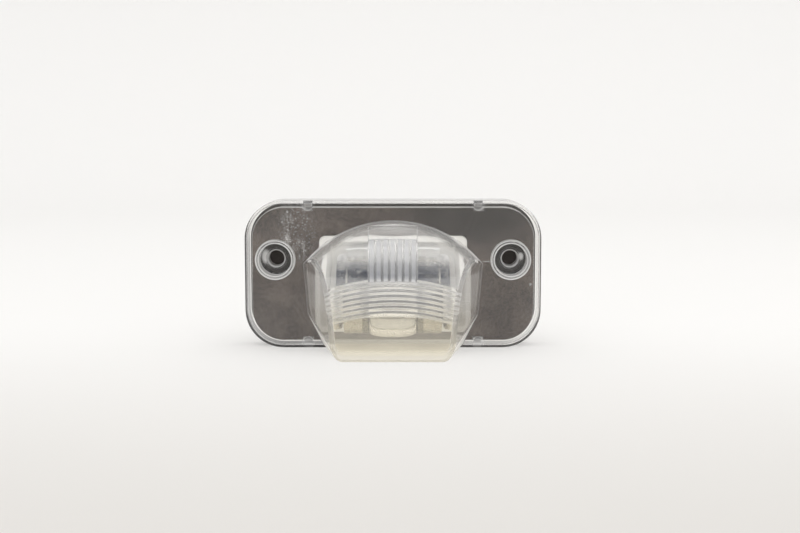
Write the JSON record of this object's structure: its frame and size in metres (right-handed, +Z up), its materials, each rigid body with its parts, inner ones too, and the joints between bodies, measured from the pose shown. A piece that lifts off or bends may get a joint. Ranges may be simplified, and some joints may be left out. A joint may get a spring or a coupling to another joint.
{
  "type": "number plate lamp",
  "caption": "Vehicle number plate lamp: clear flanged lens with a ribbed dome over a festoon bulb, black rubber gasket, white bulb holder with a bright reflector, blade terminals behind.",
  "frame": {"origin": "midway between the two screw holes, on the plane of the lens skirt's rear edge and the screw bosses' ends", "axes": "+X along the lamp to the right as seen from the front, +Y back into the panel (the lens faces -Y), +Z up"},
  "size_m": [0.085, 0.043, 0.0424],
  "materials": {
    "clear_lens": "clear, glossy",
    "black_rubber": "matt, dusty",
    "white_plastic": "satin",
    "bright_sheet": "bright, a little speckled",
    "tinned_strip": "tinned, satin",
    "bulb_glass": "clear",
    "bulb_cap": "nickelled, satin",
    "bulb_wire": "plain wire"
  },
  "bodies": {
    "root": {"lens": "clear_lens", "gasket": "black_rubber", "bulb_holder": "white_plastic", "reflector": "bright_sheet", "contact_left": "tinned_strip", "contact_right": "tinned_strip", "bulb_glass": "bulb_glass", "bulb_cap_left": "bulb_cap", "bulb_cap_right": "bulb_cap", "bulb_lead_left": "bulb_wire", "bulb_lead_right": "bulb_wire", "bulb_filament": "bulb_wire"}
  },
  "joints": []
}
